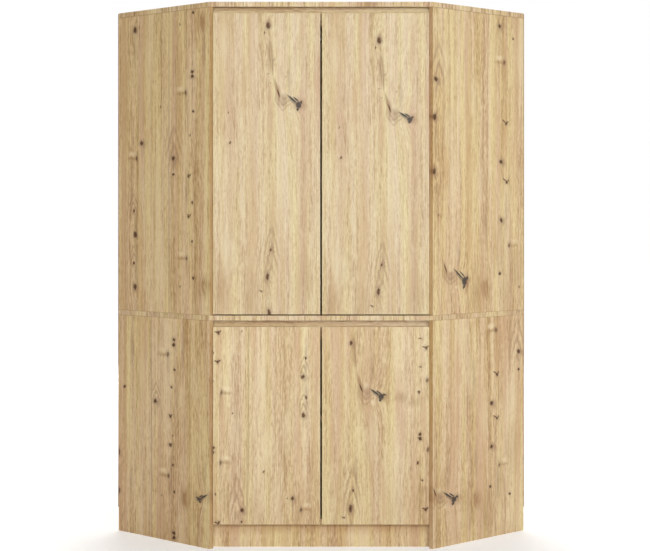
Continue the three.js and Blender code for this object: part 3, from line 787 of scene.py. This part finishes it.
RIGHT_UPPER_SIDE_PX = {
    spot: ((499.7, 26.2), (436, 79.2), (501.2, 161.5), (501.2, 220.3)),
    speck: ((513.5, 39.2), (519, 287), (439, 215)),
    hook: ((509.3, 245.5),),
    hook_left: ((504.3, 62.8),),
    eye: ((434.8, 117), (434.5, 171.5)),
    vee: ((506.3, 123.5, 1.1, 0.015), (506.8, 182, 1.1, 0.015)),
    dot: ((500, 273.5),),
    burl: ((485, 287),),
    crack: ((464.4, 280.0, 1.3),),
    curl: ((445.5, 268.5, 1.25),),
    flame: ((439, 66),),
    tan_cloud: ((514, 266, 0.5), (500, 250, 0.4), (476, 292, 0.5), (508, 296, 0.5)),
    rosy_streak: ((468, 150), (469, 230), (505, 60), (505, 130)),
    brown_streak: ((486, 222), (506, 215)),
    pale_streak: ((446, 60), (452, 190), (520, 60), (474, 100), (448, 130), (480, 180)),
}
LEFT_LOWER_SIDE_PX = {
    double: ((173.7, 342.2), (173.7, 535.7)),
    hook_left: ((167.8, 354.5), (168.5, 475.5)),
    dot: ((174.5, 369.5), (171.5, 387.2), (124.5, 386.2), (172.8, 465), (174.3, 491.5)),
    speck: ((172.8, 435.8), (161.7, 495.5)),
    spot: ((155.3, 401.3),),
    vee: ((170.3, 416.3, 0.4, 0.008), (170.3, 445.3, 0.4, 0.008)),
    eye: ((118.4, 451.7), (118.4, 490)),
    crack_right: ((199.2, 498.7, 0.58),),
    burl: ((185, 499),),
    joint: ((151.5, 380), (151.5, 460)),
    small_flame: ((156, 392),),
    rosy_stave: ((125.2, 420, 0.005, 0.8),),
    brown_streak: ((131, 480), (183, 350), (132, 350), (171, 480)),
    pale_streak: ((143, 370), (181, 400), (194, 380)),
}
RIGHT_LOWER_SIDE_PX = {
    spot: ((518.7, 351.3), (491.7, 403), (491.7, 446.4)),
    dot: ((518.7, 369), (490.3, 486.5), (509.8, 493.7)),
    hook: ((499.3, 464.5),),
    hook_left: ((496, 330),),
    vee: ((497, 374, 1.0, 0.012), (497, 418, 1.0, 0.012)),
    burl: ((476, 500),),
    crack: ((453.9, 498.6, 0.9),),
    curl: ((435, 493),),
    flame: ((517, 340),),
    tan_cloud: ((500, 482, 0.4), (512, 448), (488, 508, 0.5), (470, 505, 0.4)),
    rosy_streak: ((457.5, 370), (457.5, 420), (497, 345)),
    brown_streak: ((474, 380), (476, 460), (498, 480)),
    pale_streak: ((444, 350), (484, 420), (512, 400), (470, 380)),
}

# How far the right upper door's print lies from the left one's
PRINT_ACROSS_PX, PRINT_DOWN_PX = 111, 15
METRES_PER_PX = FRONT_DISTANCE / FOCAL_PX
UPPER_RIGHT_OFFSET = (PRINT_ACROSS_PX * METRES_PER_PX, 0, -PRINT_DOWN_PX * METRES_PER_PX)

# For each kind of seen surface: its direction, a point on it, and how far its marks are stretched
SIDE_WIDENING = 1.5
FRONT = (FRONT_ACROSS, FRONT_POINT, 1.0)
LEFT = (LEFT_ACROSS, LEFT_POINT, SIDE_WIDENING)
RIGHT = (RIGHT_ACROSS, RIGHT_POINT, SIDE_WIDENING)

# Hardboard of the back sheets, and the way that each side's sheets face
HARDBOARD_DARK = srgb(118, 84, 54)
HARDBOARD_MAIN = srgb(146, 108, 72)
HARDBOARD_PALE = srgb(163, 125, 87)
OUTWARDS = {"left": Vector((-DIAGONAL, DIAGONAL, 0)), "right": Vector((DIAGONAL, DIAGONAL, 0))}
MOTTLE_WAVES = (22, 22, 16)
FIBRE_WAVES = (420, 420, 300)
FLECK_WAVES = (1400, 1400, 900)
MOTTLE_SWING = 0.45
FIBRE_SWING = 0.9
FLECK_RANGE, FLECK_SHARE = (0.38, 0.28), 0.5
PRINT_SWINGS = ((BROAD_WAVES, 0.6), (STREAK_WAVES, 0.8), (LINE_WAVES, 0.9))
FACING_INSIDE = -0.5
HARDBOARD_SPECULAR = 0.25
HARDBOARD_ROUGHNESS = 0.5
FIBRE_ROUGHNESS = 0.2


def hardboard_material(name, outwards):
    """Plain brown fibre towards the wall and on the edges, printed oak on the face inside."""
    material = bpy.data.materials.new(name)
    n = Nodes(material)
    coordinates = n.new("ShaderNodeTexCoord").outputs
    place = coordinates["Object"]
    fibre = n.noise(place, FIBRE_WAVES, 3.0, 0.7)
    fleck = n.noise(place, FLECK_WAVES, 1.0)
    tone = n.swing(n.noise(place, MOTTLE_WAVES, 4.0, 0.65), MOTTLE_SWING, 0.5)
    tone = n.swing(fibre, FIBRE_SWING, tone)
    brown = n.ramp(tone, ((0.15, HARDBOARD_DARK), (0.5, HARDBOARD_MAIN), (0.85, HARDBOARD_PALE)))
    brown = n.mix(n.spread(fleck, *FLECK_RANGE, 0.0, FLECK_SHARE), brown, HARDBOARD_DARK)

    grain = TONE_MIDDLE
    for waves, weight in PRINT_SWINGS:
        grain = n.swing(n.noise(place, waves, 2.0, 0.55), weight, grain)
    facing = n.vector("DOT_PRODUCT", coordinates["Normal"], tuple(outwards))
    inside = n.math("LESS_THAN", facing, FACING_INSIDE)
    colour = n.mix(inside, brown, n.ramp(grain, OAK_STOPS))
    roughness = n.math("MULTIPLY_ADD", fibre, FIBRE_ROUGHNESS, HARDBOARD_ROUGHNESS)
    relief = n.math("ADD", fibre, fleck)
    n.surface(colour, roughness, relief, BOARD_RELIEF, Specular_IOR_Level=HARDBOARD_SPECULAR)
    return material


# Metals
METAL_RELIEF = 0.00002
SMEAR_WAVES = (35, 35, 35)
FINE_BRUSH_WAVES = (900, 900, 900)
TUBE_BRUSH_WAVES = (160, 1600, 1600)
METAL_ROUGHNESS = 0.20
BRUSH_ROUGHNESS = 0.14
SMEAR_ROUGHNESS = 0.1


def metal_material(name, colour_low, colour_high, brush_waves):
    """Metal with fine brush marks and a trace of smears."""
    material = bpy.data.materials.new(name)
    n = Nodes(material)
    place = n.new("ShaderNodeTexCoord").outputs["Object"]
    brush = n.noise(place, brush_waves, 3.0, 0.6)
    smear = n.noise(place, SMEAR_WAVES, 3.0, 0.55)
    roughness = n.math("MULTIPLY_ADD", smear, SMEAR_ROUGHNESS, METAL_ROUGHNESS)
    roughness = n.math("MULTIPLY_ADD", brush, BRUSH_ROUGHNESS, roughness)
    n.surface(n.mix(smear, colour_low, colour_high), roughness, brush, METAL_RELIEF, Metallic=1.0)
    return material


NICKEL = metal_material("nickel", srgb(186, 184, 178), srgb(214, 212, 206), FINE_BRUSH_WAVES)
CHROME = metal_material("chrome_tube", srgb(208, 210, 212), srgb(232, 233, 235), TUBE_BRUSH_WAVES)
HARDBOARD = {side: hardboard_material(f"hardboard_{side}", OUTWARDS[side]) for side in OUTWARDS}

# How the light colours the boards in the photograph
# Painted light and shade: the tints below scale the boards' colours for the light and shade that
# fall on them
DOOR_TINT = (0.985, 1.0, 0.985)
LOWER_LEFT_DOOR_TINT = (1.03, 1.02, 0.98)
LOWER_RIGHT_DOOR_TINT = (1.01, 1.0, 0.95)
# Painted shade on the side panels, darker and warmer than the doors
SIDE_SHADE_TINT = (1.005, 0.962, 0.875)
# Painted shade on the upper rail in its recess, painted light on the lower rail, painted shade on
# the plinth
UPPER_RAIL_SHADE_TINT = (0.935, 0.92, 0.895)
LOWER_RAIL_LIGHT_TINT = (1.04, 1.05, 0.995)
PLINTH_SHADE_TINT = (0.98, 0.95, 0.87)
EDGE_TINT = (0.995, 0.98, 0.945)
# Painted shade: fine dark lines where boards meet, and the shade under the bottom board: height,
# half width, strength
PAINTED_SHADES = {
    "upper": ((0.768, 0.0026, 0.6), (1.784, 0.0030, 0.75)),
    "lower": ((0.752, 0.0026, 0.6),),
    "plinth": ((0.080, 0.045, 0.60),),
}
# Storey, side, marks and seed of the side panels. A seed picks the part of the print.
SIDES = (
    ("upper", "left", LEFT_UPPER_SIDE_PX, 4.0),
    ("lower", "left", LEFT_LOWER_SIDE_PX, 5.0),
    ("upper", "right", RIGHT_UPPER_SIDE_PX, 6.0),
    ("lower", "right", RIGHT_LOWER_SIDE_PX, 7.0),
)
PLAIN_SEEDS = (15.0, 16.0)


def oak_looks():
    """What oak_material gets for each board that the photograph shows."""
    upper_door = {"seed": 1.0, "tint": DOOR_TINT}
    long_edge = {"tint": EDGE_TINT, "contrast": 1.3, "ticks": 0.5}
    looks = {
        "door_upper_left": {
            "marks": marks_of(UPPER_DOOR_PX, *FRONT), "contrast": 1.08, **upper_door},
        "door_upper_right": {
            "marks": marks_of(UPPER_RIGHT_DOOR_PX, *FRONT), "contrast": 1.12,
            "offset": UPPER_RIGHT_OFFSET, **upper_door},
        "door_lower_left": {
            "marks": marks_of(LOWER_LEFT_DOOR_PX, *FRONT), "seed": 2.0,
            "tint": LOWER_LEFT_DOOR_TINT, "contrast": 1.22},
        "door_lower_right": {
            "marks": marks_of(LOWER_RIGHT_DOOR_PX, *FRONT), "seed": 3.0,
            "tint": LOWER_RIGHT_DOOR_TINT, "contrast": 1.22},
        "middle_board": {"seed": 8.0, **long_edge},
        "top_board": {"seed": 9.6, **long_edge},
        # The plinth and the upper rail get painted shade, the lower rail painted light
        "plinth_board": {
            "seed": 13.0, "tint": PLINTH_SHADE_TINT, "contrast": 1.5, "shade_bands": PAINTED_SHADES["plinth"]},
        "front_rail_lower": {"seed": 11.0, "tint": LOWER_RAIL_LIGHT_TINT, "contrast": 1.5, "lying": True},
        "front_rail_upper": {"seed": 12.0, "tint": UPPER_RAIL_SHADE_TINT, "contrast": 1.5, "lying": True},
    }
    for storey, side, marks_px, seed in SIDES:
        plane, inwards = (LEFT, 1) if side == "left" else (RIGHT, -1)
        # Side panels get painted shade on the whole face, on the front edge and at the seams
        looks[f"side_panel_{storey}_{side}"] = {
            "marks": marks_of(marks_px, *plane), "across": plane[0], "seed": seed,
            "tint": SIDE_SHADE_TINT, "contrast": 1.5, "core": KNOT_CORE_WARM,
            "shaded_edge_normal": (inwards * DIAGONAL, -DIAGONAL, 0), "shade_bands": PAINTED_SHADES[storey]}
    return looks


OAKS = {name: oak_material(f"oak_{name}", **look) for name, look in oak_looks().items()}
PLAIN_OAKS = [
    oak_material(f"oak_board_{index}", seed=seed) for index, seed in enumerate(PLAIN_SEEDS)]

BOARD_EASE = 0.0005
EASE_SEGMENTS = 2
EASED_ABOVE = math.radians(40)


def dress_nodes():
    """Gives each CAD node its finish, and eases the boards' edges."""
    for index, (name, node) in enumerate(sorted(nodes.items())):
        materials = node.data.materials
        materials.clear()
        if name.startswith(("hinge_", "rail_bracket", "shelf_pin")):
            materials.append(NICKEL)
        elif name == "hanging_rail":
            materials.append(CHROME)
        elif name.startswith("back_sheet"):
            materials.append(HARDBOARD[name.split("_")[-1]])
        else:
            materials.append(OAKS.get(name) or PLAIN_OAKS[index % len(PLAIN_OAKS)])
            bevel = node.modifiers.new("eased_edges", "BEVEL")
            bevel.width = BOARD_EASE
            bevel.segments = EASE_SEGMENTS
            bevel.limit_method = "ANGLE"
            bevel.angle_limit = EASED_ABOVE


# Nails of the back sheets: the head's profile as radius and height, and where the nails stand
NAIL_PROFILE = ((0.0026, -0.0004), (0.0026, 0.0002), (0.0022, 0.0005), (0.0012, 0.0007))
NAIL_FACETS = 12
NAIL_INSET = 0.008
NAIL_INSET_AT_SPLIT = 0.004
NAIL_SPACING = 0.12


def nail_places(low, high):
    """Evenly spaced places from one end to the other, about a nail's spacing apart."""
    count = max(1, round((high - low) / NAIL_SPACING))
    return [low + (high - low) * step / count for step in range(count + 1)]


def nail_head(body, centre, outwards, along):
    """Adds one domed head to the mesh, standing out from its centre."""
    rings = []
    for radius, height in NAIL_PROFILE:
        ring = []
        for step in range(NAIL_FACETS):
            angle = 2 * math.pi * step / NAIL_FACETS
            spoke = along * math.cos(angle) + Vector((0, 0, math.sin(angle)))
            ring.append(body.verts.new(centre + spoke * radius + outwards * height))
        rings.append(ring)
    for inner, outer in zip(rings, rings[1:]):
        for step in range(NAIL_FACETS):
            following = (step + 1) % NAIL_FACETS
            body.faces.new((inner[step], inner[following], outer[following], outer[step]))
    body.faces.new(rings[0])
    body.faces.new(rings[-1])


def add_nails(storey, side):
    """Nail heads round the edge of a back sheet."""
    outwards = OUTWARDS[side]
    along = outwards.cross(Vector((0, 0, 1)))
    points = [vertex.co for vertex in nodes[f"back_sheet_{storey}_{side}"].data.vertices]
    face = max(point.dot(outwards) for point in points)
    start = min(point.dot(along) for point in points) + NAIL_INSET
    end = max(point.dot(along) for point in points) - NAIL_INSET
    bottom, top = min(point.z for point in points), max(point.z for point in points)
    bottom += NAIL_INSET_AT_SPLIT if storey == "upper" else NAIL_INSET
    top -= NAIL_INSET if storey == "upper" else NAIL_INSET_AT_SPLIT
    places = [(across, up) for across in nail_places(start, end) for up in (bottom, top)]
    places += [(across, up) for across in (start, end) for up in nail_places(bottom, top)[1:-1]]

    body = bmesh.new()
    for across, up in places:
        nail_head(body, outwards * face + along * across + Vector((0, 0, up)), outwards, along)
    bmesh.ops.recalc_face_normals(body, faces=body.faces)
    mesh = bpy.data.meshes.new(f"nails_{storey}_{side}")
    body.to_mesh(mesh)
    body.free()
    mesh.materials.append(NICKEL)
    piece = bpy.data.objects.new(mesh.name, mesh)
    scene.collection.objects.link(piece)
    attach(piece, "carcass")


# Floor, backdrop and light
FLOOR_HALF = 30.0
FLOOR_COLOUR = (0.82, 0.82, 0.81, 1.0)
FLOOR_GLOW = 0.45
FLOOR_NEAR, FLOOR_FAR = 0.75, 1.9
AMBIENT = 0.02
WHITE = (1.0, 1.0, 1.0)
OBJECT_MIDDLE = (0, 0, 0.9)
TOP_REAR = (0, 0.9, 0)
# Name, place, target, width and height, watts and colour
LIGHTS = (
    ("key", (0.5, -7.0, 1.9), OBJECT_MIDDLE, (5.0, 2.6), 318, WHITE),
    ("left_fill", (-5.0, -1.2, 1.6), OBJECT_MIDDLE, (2.0, 2.6), 18, (1.0, 0.72, 0.38)),
    ("right_fill", (5.0, -1.2, 1.6), OBJECT_MIDDLE, (2.0, 2.6), 53, (1.0, 1.0, 0.98)),
    ("top_light", (0.0, 1.3, 4.6), TOP_REAR, (3.0, 1.8), 95, WHITE),
    ("back_light", (0.0, 6.0, 2.2), OBJECT_MIDDLE, (4.0, 3.0), 260, WHITE),
)


def seen_directly(n):
    """1 for rays that come from the camera, from a reflection or through glass, else 0."""
    path = n.new("ShaderNodeLightPath").outputs
    seen = n.math("MAXIMUM", path["Is Camera Ray"], path["Is Glossy Ray"])
    return n.math("MAXIMUM", seen, path["Is Transmission Ray"])


def add_floor():
    """A pale floor that keeps the shadow and turns white further out."""
    mesh = bpy.data.meshes.new("floor")
    corners = [(x * FLOOR_HALF, y * FLOOR_HALF, 0) for x, y in ((-1, -1), (1, -1), (1, 1), (-1, 1))]
    mesh.from_pydata(corners, [], [(0, 1, 2, 3)])
    floor = bpy.data.objects.new("floor", mesh)
    scene.collection.objects.link(floor)
    material = bpy.data.materials.new("floor")
    n = Nodes(material)
    diffuse = n.new("ShaderNodeBsdfDiffuse", {"Color": FLOOR_COLOUR}).outputs[0]
    away = n.vector("LENGTH", n.new("ShaderNodeTexCoord").outputs["Object"])
    white = n.spread(away, FLOOR_NEAR, FLOOR_FAR, FLOOR_GLOW, 1.0, smooth=True)
    strength = n.math("MULTIPLY", seen_directly(n), white)
    glow = n.new("ShaderNodeEmission", {"Strength": strength}).outputs[0]
    both = n.new("ShaderNodeAddShader", {0: diffuse, 1: glow}).outputs[0]
    n.put(n.new("ShaderNodeOutputMaterial").inputs["Surface"], both)
    mesh.materials.append(material)


def add_world():
    """White where it is seen directly, and a faint light otherwise."""
    world = bpy.data.worlds.new("world")
    scene.world = world
    n = Nodes(world)
    strength = n.spread(seen_directly(n), 0.0, 1.0, AMBIENT, 1.0)
    inputs = {"Color": (1, 1, 1, 1), "Strength": strength}
    background = n.new("ShaderNodeBackground", inputs).outputs[0]
    n.put(n.new("ShaderNodeOutputWorld").inputs["Surface"], background)


def add_light(name, place, target, size, power, colour):
    """A rectangular area light that faces its target."""
    data = bpy.data.lights.new(name, "AREA")
    data.shape = "RECTANGLE"
    data.size = size[0]
    data.size_y = size[1]
    data.energy = power
    data.color = colour
    light = bpy.data.objects.new(name, data)
    light.location = place
    light.rotation_euler = (Vector(target) - Vector(place)).to_track_quat("-Z", "Y").to_euler()
    scene.collection.objects.link(light)


add_camera()
dress_nodes()
for storey in ("lower", "upper"):
    for side in OUTWARDS:
        add_nails(storey, side)
add_floor()
add_world()
for light in LIGHTS:
    add_light(*light)

scene.view_settings.view_transform = "Standard"
